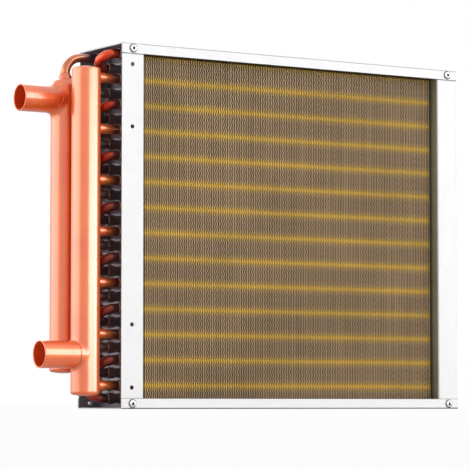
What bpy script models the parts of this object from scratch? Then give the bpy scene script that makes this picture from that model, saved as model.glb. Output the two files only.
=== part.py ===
"""Water-to-air heat exchanger: a copper tube and aluminium fin coil in a folded sheet casing.

Sizes are in millimetres and become metres in the meshes. +Z is up and the front air face looks
along -Y. The headers and water ports are on the -X side. The origin is the centre of the underside.
"""

import math

import bmesh
import bpy
from mathutils import Vector

MM = 0.001

# Fit between pieces that touch on the real coil
CLEARANCE = 0.3

# Fin pack: its height and depth follow from the tube pattern
TUBES_PER_ROW = 14
TUBE_PITCH = 25.4
ROW_PITCH = 22.0
FINNED_LENGTH = 359.4
FIN_END_GAP = 2.0
FIN_FOOT_GAP = 3.0
FIN_HEAD_GAP = 1.0
RIDGE_PITCH = 6.6
RIDGE_THICKNESS = 1.1
RIDGE_ROOT_WALL = 0.9

# Casing sheets
SHEET_THICKNESS = 1.2
FOLD_INSIDE_RADIUS = 0.5
AIR_FACE_RECESS = 11.45
SIDE_FLANGE_WIDTH = 24.7
CHANNEL_FLANGE_HEIGHT = 10.5
FLANGE_HOLE_DIAMETER = 4.0
OUTER_FLANGE_HOLE_INSET = 21.0
INNER_FLANGE_HOLE_INSET = 83.0

# Tubes and their bends
TUBE_DIAMETER = 9.53
BELL_DIAMETER = 11.4
BELL_LENGTH = 7.0
BELL_TAPER = 1.5
TUBE_STAND_OUT = 15.6
HAIRPIN_LEAD = 2.5
RETURN_BEND_LEAD = 1.8

# Headers, feeders and water ports
HEADER_DIAMETER = 28.8
HEADER_WALL = 1.2
HEADER_END_WALL = 1.6
HEADER_EDGE_RADIUS = 2.5
HEADER_BEND_GAP = 2.4
FRONT_HEADER_OVERRUN = 10.5
BACK_HEADER_OVERRUN = 13.3
TOP_FEEDER_RISE = 23.0
TOP_FEEDER_BEND_RADIUS = 18.0
NECK_DIAMETER = 13.0
NECK_HEIGHT = 4.5
PORT_DIAMETER = 26.4
PORT_WALL = 1.2
PORT_REACH = 51.0
PORT_SEAT_DEPTH = 9.0
COLLAR_WALL = 0.5
COLLAR_REACH = 17.0
FRONT_PORT_RISE = 30.0
BACK_PORT_DROP = 21.8

# Blind rivets at the casing corners
RIVET_HEAD_DIAMETER = 9.0
RIVET_CROWN_DIAMETER = 4.4
RIVET_HEAD_HEIGHT = 1.7
RIVET_SHANK_DIAMETER = 4.0
RIVET_TAIL_DIAMETER = 6.0
RIVET_TAIL_LENGTH = 3.0

# Facets
TUBE_SIDES = 6
HEADER_SIDES = 16
NECK_SIDES = 8
BEND_STEPS = 4
ELBOW_STEPS = 4
FOLD_STEPS = 2

# Sizes that follow from the ones above
ROWS = ("front", "middle", "back")
FIN_HEIGHT = TUBES_PER_ROW * TUBE_PITCH
FIN_DEPTH = len(ROWS) * ROW_PITCH
FIN_BOTTOM = SHEET_THICKNESS + FIN_FOOT_GAP
FIN_TOP = FIN_BOTTOM + FIN_HEIGHT
CASING_HEIGHT = FIN_TOP + FIN_HEAD_GAP + SHEET_THICKNESS
CASING_DEPTH = FIN_DEPTH + 2 * AIR_FACE_RECESS
WEB_X = FINNED_LENGTH / 2 + FIN_END_GAP
CASING_WIDTH = 2 * (WEB_X + SIDE_FLANGE_WIDTH)
SIDE_SHEET_DEPTH = CASING_DEPTH - 2 * (SHEET_THICKNESS + CLEARANCE)
TUBE_MOUTH_X = -(WEB_X + SHEET_THICKNESS + TUBE_STAND_OUT)
HAIRPIN_BEND_X = WEB_X + SHEET_THICKNESS + HAIRPIN_LEAD
RETURN_BEND_X = TUBE_MOUTH_X - CLEARANCE - RETURN_BEND_LEAD
RETURN_BEND_RADIUS = math.hypot(ROW_PITCH, TUBE_PITCH / 2) / 2
RETURN_BEND_END_X = RETURN_BEND_X - RETURN_BEND_RADIUS - TUBE_DIAMETER / 2
HEADER_X = RETURN_BEND_END_X - HEADER_BEND_GAP - HEADER_DIAMETER / 2
TUBE_HOLE_DIAMETER = TUBE_DIAMETER + 2 * CLEARANCE
RIDGE_DEPTH = ROW_PITCH / 2 - TUBE_HOLE_DIAMETER / 2 - RIDGE_ROOT_WALL
RIVET_HOLE_DIAMETER = RIVET_SHANK_DIAMETER + 2 * CLEARANCE
PORT_BORE = PORT_DIAMETER - 2 * PORT_WALL
COLLAR_BORE = PORT_DIAMETER + 2 * CLEARANCE


def remove_old_objects():
    for old in list(bpy.data.objects):
        bpy.data.objects.remove(old, do_unlink=True)


def new_material(name, colour, roughness, metallic):
    material = bpy.data.materials.new(name)
    material.use_nodes = True
    shader = material.node_tree.nodes["Principled BSDF"]
    shader.inputs["Base Color"].default_value = (*colour, 1.0)
    shader.inputs["Roughness"].default_value = roughness
    shader.inputs["Metallic"].default_value = metallic
    material.diffuse_color = (*colour, 1.0)
    return material


def object_from_bmesh(name, shape, material, smooth_angle=None):
    """Turn a bmesh drawn in millimetres into a scene object in metres."""
    bmesh.ops.recalc_face_normals(shape, faces=shape.faces)
    bmesh.ops.scale(shape, vec=Vector((MM, MM, MM)), verts=shape.verts)
    mesh = bpy.data.meshes.new(name)
    shape.to_mesh(mesh)
    shape.free()
    mesh.materials.append(material)
    if smooth_angle is not None:
        mesh.shade_smooth()
        mesh.set_sharp_from_angle(angle=math.radians(smooth_angle))
    piece = bpy.data.objects.new(name, mesh)
    bpy.context.scene.collection.objects.link(piece)
    return piece


def add_boolean(piece, operation, tool):
    """Cut a tool shape from a piece, or join it on; the tool itself is only a guide."""
    tool.hide_render = True
    tool.display_type = "WIRE"
    modifier = piece.modifiers.new(tool.name, "BOOLEAN")
    modifier.operation = operation
    modifier.solver = "EXACT"
    modifier.object = tool


def add_ring(shape, centre, axis, side, radius, count):
    """A polygon of vertices round an axis; side is where its first vertex points."""
    other = axis.cross(side)
    ring = []
    for step in range(count):
        angle = 2 * math.pi * step / count
        offset = side * math.cos(angle) + other * math.sin(angle)
        ring.append(shape.verts.new(centre + offset * radius))
    return ring


def add_swept_solid(shape, stations, side, count):
    """Join rings at (centre, axis, radius) stations into one closed solid."""
    rings = [add_ring(shape, centre, axis, side, radius, count) for centre, axis, radius in stations]
    for near, far in zip(rings, rings[1:]):
        for step in range(count):
            after = (step + 1) % count
            shape.faces.new((near[step], near[after], far[after], far[step]))
    shape.faces.new(list(reversed(rings[0])))
    shape.faces.new(rings[-1])


def u_bend_stations(first, second, outward, steps, radius):
    """Rings round a half turn from one tube centre to the other, bulging outward."""
    middle = (first + second) / 2
    across = (second - first) / 2
    stations = []
    for step in range(steps + 1):
        angle = math.pi * step / steps
        centre = middle - across * math.cos(angle) + outward * across.length * math.sin(angle)
        axis = across.normalized() * math.sin(angle) + outward * math.cos(angle)
        stations.append((centre, axis, radius))
    return stations


def rod_cutter(name, rods, axis, side, count, material):
    """Straight prisms in one guide object, each given as (start, end, diameter)."""
    shape = bmesh.new()
    for start, end, diameter in rods:
        stations = [(start, axis, diameter / 2), (end, axis, diameter / 2)]
        add_swept_solid(shape, stations, side, count)
    return object_from_bmesh(name, shape, material)


def extrude_outline(name, outline, place, low, high, material):
    """Extrude a closed outline; place(a, b, h) says where its points lie at height h."""
    shape = bmesh.new()
    near = [shape.verts.new(place(a, b, low)) for a, b in outline]
    far = [shape.verts.new(place(a, b, high)) for a, b in outline]
    for step in range(len(outline)):
        after = (step + 1) % len(outline)
        shape.faces.new((near[step], near[after], far[after], far[step]))
    shape.faces.new(list(reversed(near)))
    shape.faces.new(far)
    return object_from_bmesh(name, shape, material)


def fold_arc(centre_a, centre_b, radius, start_degrees, end_degrees):
    points = []
    for step in range(FOLD_STEPS + 1):
        angle = math.radians(start_degrees + (end_degrees - start_degrees) * step / FOLD_STEPS)
        points.append((centre_a + radius * math.cos(angle), centre_b + radius * math.sin(angle)))
    return points


def folded_channel_outline(width, leg):
    """Section of a sheet folded into a U: its web lies on b = 0 and its legs reach b = leg."""
    outer = FOLD_INSIDE_RADIUS + SHEET_THICKNESS
    half = width / 2
    fold = half - outer
    outline = [(-half, leg)]
    outline += fold_arc(-fold, outer, outer, 180, 270)
    outline += fold_arc(fold, outer, outer, 270, 360)
    outline += [(half, leg), (half - SHEET_THICKNESS, leg)]
    outline += fold_arc(fold, outer, FOLD_INSIDE_RADIUS, 360, 270)
    outline += fold_arc(-fold, outer, FOLD_INSIDE_RADIUS, 270, 180)
    outline += [(SHEET_THICKNESS - half, leg)]
    return outline


def row_y(row):
    return (ROWS.index(row) - 1) * ROW_PITCH


def tube_z(row, number):
    """Height of a tube, numbered from 1 at the top; the middle row sits half a pitch lower."""
    first_drop = 0.75 if row == "middle" else 0.25
    return FIN_TOP - (first_drop + number - 1) * TUBE_PITCH


def tube_centre(row, number, x):
    return Vector((x, row_y(row), tube_z(row, number)))


def tube_holes(name, x_low, x_high, material):
    """One clearance prism for every straight tube, between two X positions."""
    rods = []
    for row in ROWS:
        for number in range(1, TUBES_PER_ROW + 1):
            start = tube_centre(row, number, x_low)
            end = tube_centre(row, number, x_high)
            rods.append((start, end, TUBE_HOLE_DIAMETER))
    return rod_cutter(name, rods, Vector((1, 0, 0)), Vector((0, 1, 0)), TUBE_SIDES, material)


def comb_outline():
    """Section of the fin pack: a block with upright fin ridges along its two air faces."""
    count = round((FINNED_LENGTH - RIDGE_THICKNESS) / RIDGE_PITCH)
    pitch = (FINNED_LENGTH - RIDGE_THICKNESS) / count
    tip = FIN_DEPTH / 2
    root = tip - RIDGE_DEPTH
    front = []
    for ridge in range(count + 1):
        left = ridge * pitch - FINNED_LENGTH / 2
        right = left + RIDGE_THICKNESS
        front += [(left, -root), (left, -tip), (right, -tip), (right, -root)]
    front = front[1:-1]
    back = [(x, -y) for x, y in reversed(front)]
    return front + back


def make_fin_pack(material):
    def place(a, b, h):
        return Vector((a, b, h))

    pack = extrude_outline("fin_pack", comb_outline(), place, FIN_BOTTOM, FIN_TOP, material)
    holes = tube_holes("fin_tube_holes", -WEB_X, WEB_X, material)
    add_boolean(pack, "DIFFERENCE", holes)


def rivet_places():
    """(X, Z, facing) of every rivet, where facing is -1 at the front and 1 at the back."""
    inset = SIDE_FLANGE_WIDTH / 2
    drop = CHANNEL_FLANGE_HEIGHT / 2
    places = {}
    for facing, face in ((-1, "front"), (1, "back")):
        for z, level in ((CASING_HEIGHT - drop, "top"), (drop, "bottom")):
            for side, end in ((-1, "header_end"), (1, "return_end")):
                x = side * (CASING_WIDTH / 2 - inset)
                places[f"rivet_{face}_{level}_{end}"] = (x, z, facing)
    return places


def rivet_holes(name, material):
    """Clearance prisms through both casing sheets at every rivet."""
    outside = CASING_DEPTH / 2 + SHEET_THICKNESS
    inside = CASING_DEPTH / 2 - 4 * SHEET_THICKNESS
    rods = []
    for x, z, facing in rivet_places().values():
        ends = sorted((facing * outside, facing * inside))
        rods.append((Vector((x, ends[0], z)), Vector((x, ends[1], z)), RIVET_HOLE_DIAMETER))
    return rod_cutter(name, rods, Vector((0, 1, 0)), Vector((0, 0, 1)), TUBE_SIDES, material)


def make_rivets(material):
    face = CASING_DEPTH / 2
    under_head = face + CLEARANCE
    crown = under_head + RIVET_HEAD_HEIGHT
    tail_start = face - 2 * SHEET_THICKNESS - 2 * CLEARANCE
    tail_swell = tail_start - RIVET_TAIL_LENGTH / 2
    tail_end = tail_start - RIVET_TAIL_LENGTH
    profile = [
        (crown, RIVET_CROWN_DIAMETER),
        (under_head, RIVET_HEAD_DIAMETER),
        (under_head, RIVET_SHANK_DIAMETER),
        (tail_start, RIVET_SHANK_DIAMETER),
        (tail_swell, RIVET_TAIL_DIAMETER),
        (tail_end, RIVET_SHANK_DIAMETER),
    ]
    for name, (x, z, facing) in rivet_places().items():
        stations = [
            (Vector((x, facing * y, z)), Vector((0, 1, 0)), diameter / 2) for y, diameter in profile
        ]
        shape = bmesh.new()
        add_swept_solid(shape, stations, Vector((0, 0, 1)), TUBE_SIDES)
        object_from_bmesh(name, shape, material)


def make_channels(material, corner_holes):
    outline = folded_channel_outline(CASING_DEPTH, CHANNEL_FLANGE_HEIGHT)

    def place_bottom(a, b, h):
        return Vector((h, a, b))

    def place_top(a, b, h):
        return Vector((h, a, CASING_HEIGHT - b))

    end = CASING_WIDTH / 2
    for name, place in (("bottom_channel", place_bottom), ("top_channel", place_top)):
        channel = extrude_outline(name, outline, place, -end, end, material)
        add_boolean(channel, "DIFFERENCE", corner_holes)


def flange_holes(name, material):
    """The four small holes down the front flange on the header side."""
    x = -(CASING_WIDTH / 2 - SIDE_FLANGE_WIDTH / 2)
    outside = -(CASING_DEPTH / 2 + SHEET_THICKNESS)
    inside = -(CASING_DEPTH / 2 - 4 * SHEET_THICKNESS)
    insets = (OUTER_FLANGE_HOLE_INSET, INNER_FLANGE_HOLE_INSET)
    heights = [z for inset in insets for z in (inset, CASING_HEIGHT - inset)]
    rods = [
        (Vector((x, outside, z)), Vector((x, inside, z)), FLANGE_HOLE_DIAMETER) for z in heights
    ]
    return rod_cutter(name, rods, Vector((0, 1, 0)), Vector((0, 0, 1)), TUBE_SIDES, material)


def make_tube_sheets(material, corner_holes):
    outline = folded_channel_outline(SIDE_SHEET_DEPTH, SIDE_FLANGE_WIDTH)
    low = SHEET_THICKNESS + CLEARANCE
    high = CASING_HEIGHT - low

    def place_header_end(a, b, h):
        return Vector((-WEB_X - b, a, h))

    def place_return_end(a, b, h):
        return Vector((WEB_X + b, a, h))

    inside = WEB_X - FIN_END_GAP / 2
    outside = WEB_X + 2 * SHEET_THICKNESS
    sheet = extrude_outline("header_tube_sheet", outline, place_header_end, low, high, material)
    add_boolean(sheet, "DIFFERENCE", tube_holes("header_sheet_holes", -outside, -inside, material))
    add_boolean(sheet, "DIFFERENCE", corner_holes)
    add_boolean(sheet, "DIFFERENCE", flange_holes("flange_holes", material))
    sheet = extrude_outline("return_tube_sheet", outline, place_return_end, low, high, material)
    add_boolean(sheet, "DIFFERENCE", tube_holes("return_sheet_holes", inside, outside, material))
    add_boolean(sheet, "DIFFERENCE", corner_holes)


def make_hairpin(name, row, number, material):
    """Two straight tubes with belled mouths and the half turn that joins them at the far end."""
    outward = Vector((1, 0, 0))
    radius = TUBE_DIAMETER / 2
    bell = BELL_DIAMETER / 2
    leg = [
        (TUBE_MOUTH_X, bell),
        (TUBE_MOUTH_X + BELL_LENGTH, bell),
        (TUBE_MOUTH_X + BELL_LENGTH + BELL_TAPER, radius),
    ]
    upper = [(tube_centre(row, number, x), outward, r) for x, r in leg]
    lower = [(tube_centre(row, number + 1, x), -outward, r) for x, r in reversed(leg)]
    first = tube_centre(row, number, HAIRPIN_BEND_X)
    second = tube_centre(row, number + 1, HAIRPIN_BEND_X)
    bend = u_bend_stations(first, second, outward, BEND_STEPS, radius)
    shape = bmesh.new()
    add_swept_solid(shape, upper + bend + lower, Vector((0, 1, 0)), TUBE_SIDES)
    object_from_bmesh(name, shape, material, 50)


def make_hairpins(material):
    for row in ROWS:
        for number in range(1, TUBES_PER_ROW, 2):
            make_hairpin(f"hairpin_{row}_{(number + 1) // 2:02d}", row, number, material)


def make_return_bend(name, first_row, second_row, number, material):
    """A half turn from a tube mouth to its slanting neighbour in the next row."""
    outward = Vector((-1, 0, 0))
    radius = TUBE_DIAMETER / 2
    first = tube_centre(first_row, number, RETURN_BEND_X)
    second = tube_centre(second_row, number, RETURN_BEND_X)
    lead = -outward * RETURN_BEND_LEAD
    bend = u_bend_stations(first, second, outward, BEND_STEPS, radius)
    stations = [(first + lead, outward, radius)] + bend + [(second + lead, -outward, radius)]
    side = outward.cross(second - first).normalized()
    shape = bmesh.new()
    add_swept_solid(shape, stations, side, TUBE_SIDES)
    object_from_bmesh(name, shape, material, 50)


def make_return_bends(material):
    for number in range(1, TUBES_PER_ROW, 2):
        circuit = (number + 1) // 2
        make_return_bend(f"return_bend_front_{circuit:02d}", "front", "middle", number, material)
        make_return_bend(f"return_bend_back_{circuit:02d}", "middle", "back", number + 1, material)


def lathe_stations(x, y, profile):
    return [(Vector((x, y, z)), Vector((0, 0, 1)), radius) for z, radius in profile]


def make_header(name, row, low, high, port_z, feeders, material):
    """A closed header tube with its stubs towards the coil and its collar for the water port."""
    y = row_y(row)
    radius = HEADER_DIAMETER / 2
    edge = HEADER_EDGE_RADIUS
    across = Vector((0, 1, 0))
    along = Vector((1, 0, 0))

    outside = [(low, radius - edge), (low + edge, radius), (high - edge, radius), (high, radius - edge)]
    shape = bmesh.new()
    add_swept_solid(shape, lathe_stations(HEADER_X, y, outside), across, HEADER_SIDES)
    header = object_from_bmesh(name, shape, material, 50)

    shape = bmesh.new()
    axis_point = Vector((HEADER_X, y, port_z))
    rim = axis_point - along * COLLAR_REACH
    collar_radius = COLLAR_BORE / 2 + COLLAR_WALL
    collar = [(rim, along, collar_radius), (axis_point, along, collar_radius)]
    add_swept_solid(shape, collar, across, HEADER_SIDES)
    add_boolean(header, "UNION", object_from_bmesh(f"{name}_collar", shape, material))

    stubs = []
    for number in feeders:
        start = tube_centre(row, number, HEADER_X)
        end = tube_centre(row, number, TUBE_MOUTH_X - CLEARANCE)
        stubs.append((start, end, TUBE_DIAMETER))
    rods = rod_cutter(f"{name}_stubs", stubs, along, across, TUBE_SIDES, material)
    add_boolean(header, "UNION", rods)

    inner = radius - HEADER_WALL
    inside = [(low + HEADER_END_WALL, inner), (high - HEADER_END_WALL, inner)]
    shape = bmesh.new()
    add_swept_solid(shape, lathe_stations(HEADER_X, y, inside), across, HEADER_SIDES)
    add_boolean(header, "DIFFERENCE", object_from_bmesh(f"{name}_inside", shape, material))

    seat = axis_point - along * PORT_SEAT_DEPTH
    beyond = rim - along * COLLAR_REACH
    bore = [
        (beyond, along, COLLAR_BORE / 2),
        (seat, along, COLLAR_BORE / 2),
        (seat, along, PORT_BORE / 2),
        (axis_point, along, PORT_BORE / 2),
    ]
    shape = bmesh.new()
    add_swept_solid(shape, bore, across, HEADER_SIDES)
    add_boolean(header, "DIFFERENCE", object_from_bmesh(f"{name}_bore", shape, material))
    return header


def make_port(name, row, z, material):
    """An open water pipe that stands in its header's collar and points away from the coil."""
    along = Vector((1, 0, 0))
    across = Vector((0, 1, 0))
    centre = Vector((HEADER_X, row_y(row), z))
    mouth = centre - along * PORT_REACH
    seat = centre - along * (PORT_SEAT_DEPTH + CLEARANCE)
    shape = bmesh.new()
    wall = [(mouth, PORT_DIAMETER), (seat, PORT_DIAMETER), (seat, PORT_BORE), (mouth, PORT_BORE)]
    loop = [add_ring(shape, point, along, across, size / 2, HEADER_SIDES) for point, size in wall]
    for near, far in zip(loop, loop[1:] + loop[:1]):
        for step in range(HEADER_SIDES):
            after = (step + 1) % HEADER_SIDES
            shape.faces.new((near[step], near[after], far[after], far[step]))
    object_from_bmesh(name, shape, material, 50)


def make_top_feeder(header_top, material):
    """The feeder of the top back tube: it rises from the header's neck and turns to the coil."""
    radius = TUBE_DIAMETER / 2
    top = tube_centre("back", 1, HEADER_X)
    bend = TOP_FEEDER_BEND_RADIUS
    foot = Vector((HEADER_X, top.y, header_top))
    turn = Vector((HEADER_X + bend, top.y, top.z - bend))
    up = Vector((0, 0, 1))
    along = Vector((1, 0, 0))
    stations = [(foot, up, radius)]
    for step in range(ELBOW_STEPS + 1):
        angle = math.pi / 2 * step / ELBOW_STEPS
        centre = turn - along * bend * math.cos(angle) + up * bend * math.sin(angle)
        stations.append((centre, up * math.cos(angle) + along * math.sin(angle), radius))
    stations.append((tube_centre("back", 1, TUBE_MOUTH_X - CLEARANCE), along, radius))
    shape = bmesh.new()
    add_swept_solid(shape, stations, Vector((0, 1, 0)), TUBE_SIDES)
    object_from_bmesh("back_top_feeder", shape, material, 50)


def add_neck(header, header_top, material):
    """The drawn neck on the back header's top, in which the top feeder stands."""
    y = row_y("back")
    across = Vector((0, 1, 0))
    root = header_top - HEADER_END_WALL / 2
    rim = header_top + NECK_HEIGHT
    shape = bmesh.new()
    wall = [(root, NECK_DIAMETER / 2), (rim, NECK_DIAMETER / 2)]
    add_swept_solid(shape, lathe_stations(HEADER_X, y, wall), across, NECK_SIDES)
    add_boolean(header, "UNION", object_from_bmesh("neck_wall", shape, material))
    shape = bmesh.new()
    below = header_top - 2 * HEADER_END_WALL
    bore = [(below, TUBE_HOLE_DIAMETER / 2), (rim + NECK_HEIGHT, TUBE_HOLE_DIAMETER / 2)]
    add_swept_solid(shape, lathe_stations(HEADER_X, y, bore), across, TUBE_SIDES)
    add_boolean(header, "DIFFERENCE", object_from_bmesh("neck_bore", shape, material))


def make_headers(material):
    last = TUBES_PER_ROW
    low = tube_z("front", last) - FRONT_HEADER_OVERRUN
    high = tube_z("front", 2) + FRONT_HEADER_OVERRUN
    port_z = tube_z("front", last) + FRONT_PORT_RISE
    make_header("front_header", "front", low, high, port_z, range(2, last + 1, 2), material)
    make_port("front_port", "front", port_z, material)

    low = tube_z("back", last - 1) - BACK_HEADER_OVERRUN
    high = tube_z("back", 1) - TOP_FEEDER_RISE
    port_z = high - BACK_PORT_DROP
    header = make_header("back_header", "back", low, high, port_z, range(3, last, 2), material)
    add_neck(header, high, material)
    make_port("back_port", "back", port_z, material)
    make_top_feeder(high, material)


def main():
    remove_old_objects()
    sheet = new_material("casing_sheet", (0.80, 0.82, 0.85), 0.35, 0.6)
    fins = new_material("fin_aluminium", (0.55, 0.46, 0.30), 0.4, 0.7)
    tube = new_material("tube_copper", (0.70, 0.30, 0.16), 0.3, 1.0)
    header = new_material("header_copper", (0.90, 0.45, 0.28), 0.35, 1.0)
    rivet = new_material("rivet_metal", (0.75, 0.76, 0.78), 0.3, 1.0)

    corner_holes = rivet_holes("rivet_holes", sheet)
    make_channels(sheet, corner_holes)
    make_tube_sheets(sheet, corner_holes)
    make_rivets(rivet)
    make_fin_pack(fins)
    make_hairpins(tube)
    make_return_bends(tube)
    make_headers(header)


main()
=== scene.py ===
import math
import random

import bmesh
import bpy
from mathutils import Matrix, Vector


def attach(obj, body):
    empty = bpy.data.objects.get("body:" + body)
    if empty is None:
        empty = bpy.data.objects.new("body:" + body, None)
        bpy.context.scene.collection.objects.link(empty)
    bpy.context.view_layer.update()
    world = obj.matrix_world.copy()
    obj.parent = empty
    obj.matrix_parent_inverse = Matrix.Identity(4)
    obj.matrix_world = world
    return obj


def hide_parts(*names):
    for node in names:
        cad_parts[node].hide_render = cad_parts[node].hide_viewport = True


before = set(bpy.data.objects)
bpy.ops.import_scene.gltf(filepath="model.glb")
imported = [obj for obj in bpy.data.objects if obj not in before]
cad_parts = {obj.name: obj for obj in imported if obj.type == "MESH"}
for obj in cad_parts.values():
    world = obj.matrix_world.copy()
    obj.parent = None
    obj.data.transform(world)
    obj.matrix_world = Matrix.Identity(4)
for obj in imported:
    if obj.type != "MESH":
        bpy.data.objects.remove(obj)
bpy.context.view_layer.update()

MM = 0.001
RNG = random.Random(7)

# Sizes of the part's frame, in millimetres
ROWS = ("front", "middle", "back")
ROW_PITCH = 22.0
TUBE_PITCH = 25.4
TUBES_PER_ROW = 14
HAIRPINS_PER_ROW = 7
FIN_BOTTOM = 4.2
FIN_TOP = 359.8
FIN_HALF_LENGTH = 179.7
FIN_HALF_DEPTH = 33.0
RETURN_WEB_X = 181.7
HEADER_WEB_X = 180.8
SHEET = 1.2
CUT_EDGE = 0.4
FOLD_INSIDE = 0.5
CASING_X = 206.4
CASING_Y = 44.45
CASING_HEIGHT = 362.0
CHANNEL_LEG = 10.5
SIDE_SHEET_Y = 42.95
SIDE_SHEET_INSET = 1.5
FLANGE_MIDDLE_X = 194.05
FLANGE_HOLE_HEIGHTS = (21, 83, 279, 341)
FLANGE_HOLE_RADIUS = 2.15
RIVET_INSET = 5.25
TUBE_RADIUS = 4.765
TUBE_BORE = 4.2
BELL_RADIUS = 5.7
BELL_END = -198.5
BEND_END = -200.6
BEND_SEAT = 4.5
HAIRPIN_TURN_X = 185.4
HEADER_X = -234.866
HEADER_RADIUS = 14.4
HEADER_SHOULDER = 9.0
FRONT_HEADER = (12.75, 338.55)
BACK_HEADER = (35.35, 330.45)
FRONT_PORT_Z = 53.25
BACK_PORT_Z = 308.65
PORT_RADIUS = 13.6
PORT_BORE = 12.2
PORT_MOUTH_X = -285.866
PORT_INNER_END = HEADER_X - 9.3
COLLAR_RADIUS = 13.95
STUB_COLLAR_RADIUS = TUBE_RADIUS + 0.45
STUB_COLLAR_RIM = HEADER_X + 19.9
STUB_BRAZE_END = HEADER_X + 20.4
NECK_RADIUS = 5.1
NECK_HEIGHT = 5.8
FEEDER_BEND = 18.0
FEEDER_DROP = 0.6
SKIRT_REACH = 0.8
BRAZE_RADIUS = 5.1
BRAZE_BEAD = 0.32

# How finely round shapes are drawn
ROUND_SIDES = 56
STUB_SIDES = 22
TUBE_SIDES = 18
BORE_SIDES = 40
HOLE_SIDES = 28
RIVET_SIDES = 26
TUBE_HOLE_SIDES = 20
HAIRPIN_STEPS = 14
BEND_STEPS = 16
CURVE_STEPS = 5

# Material numbers on the sheets, and on the tubes and headers
BRIGHT, SHADED, EDGE_AND_SHADE, INNER, BEAD, FOLD = range(6)
PLAIN, BRAZED, STUB, FLUX = range(4)

# The two ports' collars; port_collar says what each value is
FRONT_COLLAR = {"spread": 3.5, "reach": 11.3, "clear": 1.5, "ring_metal": FLUX,
                "shoulder": (100.0, 5.0), "swell": 0.0}
BACK_COLLAR = {"spread": 6.0, "reach": 8.3, "clear": 5.0, "ring_metal": PLAIN,
               "shoulder": (12.8, HEADER_SHOULDER), "swell": 1.4}

# Fins: their edges, their ripple and their colours
FIN_PITCH = 2.11
FIN_MARGIN = 0.6
FIN_SECTIONS = 4
FIN_LEAN = 0.10
FIN_LEAN_WAVE = 47.0
FIN_RIPPLE = 6.35
RIPPLE_REACH = 0.42
RIPPLE_STEPS = 4
FIN_EDGE_DEPTH = 2.6
FIN_EDGE = 0.7
FIN_LIGHT = (0.60, 0.41, 0.225)
FIN_SHADE = (0.46, 0.30, 0.155)
GOLD_LIGHT = (1.0, 0.66, 0.085)
GOLD_SHADE = (0.95, 0.57, 0.055)
GAP_SHADE = 0.12
GOLD_GAP_SHADE = 0.7
BAND_SETTLE = 1.0037
BAND_PROFILE = (
    (0.0, 1.0), (0.04, 0.93), (0.08, 0.62), (0.12, 0.43),
    (0.16, 0.29), (0.20, 0.18), (0.25, 0.08), (0.32, 0.0),
)

# Shadow painted on the fins, in metres: under the top channel's flange and beside the header-end sheet
FLANGE_SHADE_FROM = 0.344
FLANGE_SHADE_HEIGHT = 0.0076
SHEET_SHADE_WIDTH = 0.0085

# Lacquer on the copper, and the white surroundings
COAT_ROUGHNESS = 0.2
COAT_IOR = 1.95
WORLD_LIGHT = 0.28
FLOOR_GREY = 0.8
FLOOR_WHITE = 0.95

# The photo's camera: its width and its focal length in pixels, and its place and angles
PHOTO_WIDTH = 470.0
FOCAL_PIXELS = 2528.38
SENSOR_WIDTH = 36.0
CAMERA_PLACE = (-1.43737, -2.20078, 0.00382)
CAMERA_PITCH = 90 + 3.849
CAMERA_YAW = -32.284

X_AXIS = Vector((1, 0, 0))
Y_AXIS = Vector((0, 1, 0))
Z_AXIS = Vector((0, 0, 1))


def row_y(row):
    return (ROWS.index(row) - 1) * ROW_PITCH


def tube_z(row, number):
    drop = 0.75 if row == "middle" else 0.25
    return FIN_TOP - (drop + number - 1) * TUBE_PITCH


# Materials

def new_tree(name):
    material = bpy.data.materials.new(name)
    material.use_nodes = True
    tree = material.node_tree
    return material, tree, tree.nodes["Principled BSDF"]


def ramp(tree, source, stops):
    """A colour ramp fed by a node's output, with (position, colour) stops."""
    made = tree.nodes.new("ShaderNodeValToRGB")
    tree.links.new(source, made.inputs[0])
    points = made.color_ramp.elements
    while len(points) < len(stops):
        points.new(0.5)
    for point, (position, colour) in zip(points, stops):
        point.position = position
        point.color = (*colour, 1.0)
    return made.outputs[0]


def object_axes(tree):
    """The X, Y and Z outputs of the object's own coordinates, in metres."""
    place = tree.nodes.new("ShaderNodeTexCoord")
    parts = tree.nodes.new("ShaderNodeSeparateXYZ")
    tree.links.new(place.outputs["Object"], parts.inputs[0])
    return parts.outputs


def object_noise(tree, scale, stretch=(1, 1, 1), detail=2.0, roughness=0.5):
    place = tree.nodes.new("ShaderNodeTexCoord")
    mapping = tree.nodes.new("ShaderNodeMapping")
    mapping.inputs["Scale"].default_value = stretch
    tree.links.new(place.outputs["Object"], mapping.inputs[0])
    noise = tree.nodes.new("ShaderNodeTexNoise")
    noise.inputs["Scale"].default_value = scale
    noise.inputs["Detail"].default_value = detail
    noise.inputs["Roughness"].default_value = roughness
    tree.links.new(mapping.outputs[0], noise.inputs["Vector"])
    return noise.outputs["Fac"]


def mix_colour(tree, factor, first, second):
    mix = tree.nodes.new("ShaderNodeMix")
    mix.data_type = "RGBA"
    sockets = [s for s in mix.inputs if s.type == "RGBA"]
    for socket, value in ((mix.inputs[0], factor), (sockets[0], first), (sockets[1], second)):
        if isinstance(value, bpy.types.NodeSocket):
            tree.links.new(value, socket)
        elif isinstance(value, (int, float)):
            socket.default_value = value
        else:
            socket.default_value = (*value, 1.0)
    return next(s for s in mix.outputs if s.type == "RGBA")


def maths(tree, operation, first, second=0.0):
    made = tree.nodes.new("ShaderNodeMath")
    made.operation = operation
    for socket, value in ((made.inputs[0], first), (made.inputs[1], second)):
        if isinstance(value, bpy.types.NodeSocket):
            tree.links.new(value, socket)
        else:
            socket.default_value = value
    return made.outputs[0]


def add_bump(tree, shader, height, strength, distance):
    bump = tree.nodes.new("ShaderNodeBump")
    bump.inputs["Strength"].default_value = strength
    bump.inputs["Distance"].default_value = distance
    tree.links.new(height, bump.inputs["Height"])
    tree.links.new(bump.outputs[0], shader.inputs["Normal"])


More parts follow.
